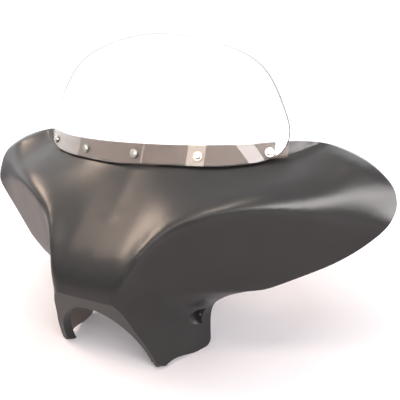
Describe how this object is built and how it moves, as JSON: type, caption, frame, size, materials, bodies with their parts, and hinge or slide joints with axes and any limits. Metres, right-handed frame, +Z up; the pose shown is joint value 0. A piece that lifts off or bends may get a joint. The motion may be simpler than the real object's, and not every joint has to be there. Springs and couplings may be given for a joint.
{
  "type": "motorcycle fairing",
  "caption": "Batwing motorcycle fairing: moulded black shell with swept wings, legs round a headlight opening, and a raked clear windshield screwed to its top edge.",
  "frame": {"origin": "bottom centre of the part's box, on the surface its legs stand on", "axes": "+X across the fairing to its left hand as ridden, +Z up, front towards -Y"},
  "size_m": [0.8346, 0.2534, 0.534],
  "materials": {
    "shell": "satin moulded black",
    "sheet": "clear acrylic",
    "steel": "stainless",
    "rubber": "matt",
    "brass": "turned"
  },
  "bodies": {
    "root": {"fairing_shell": "shell", "windshield": "sheet", "windshield_screws": "steel", "windshield_washers": "steel", "well_nuts": "rubber", "well_nut_inserts": "brass"}
  },
  "joints": []
}
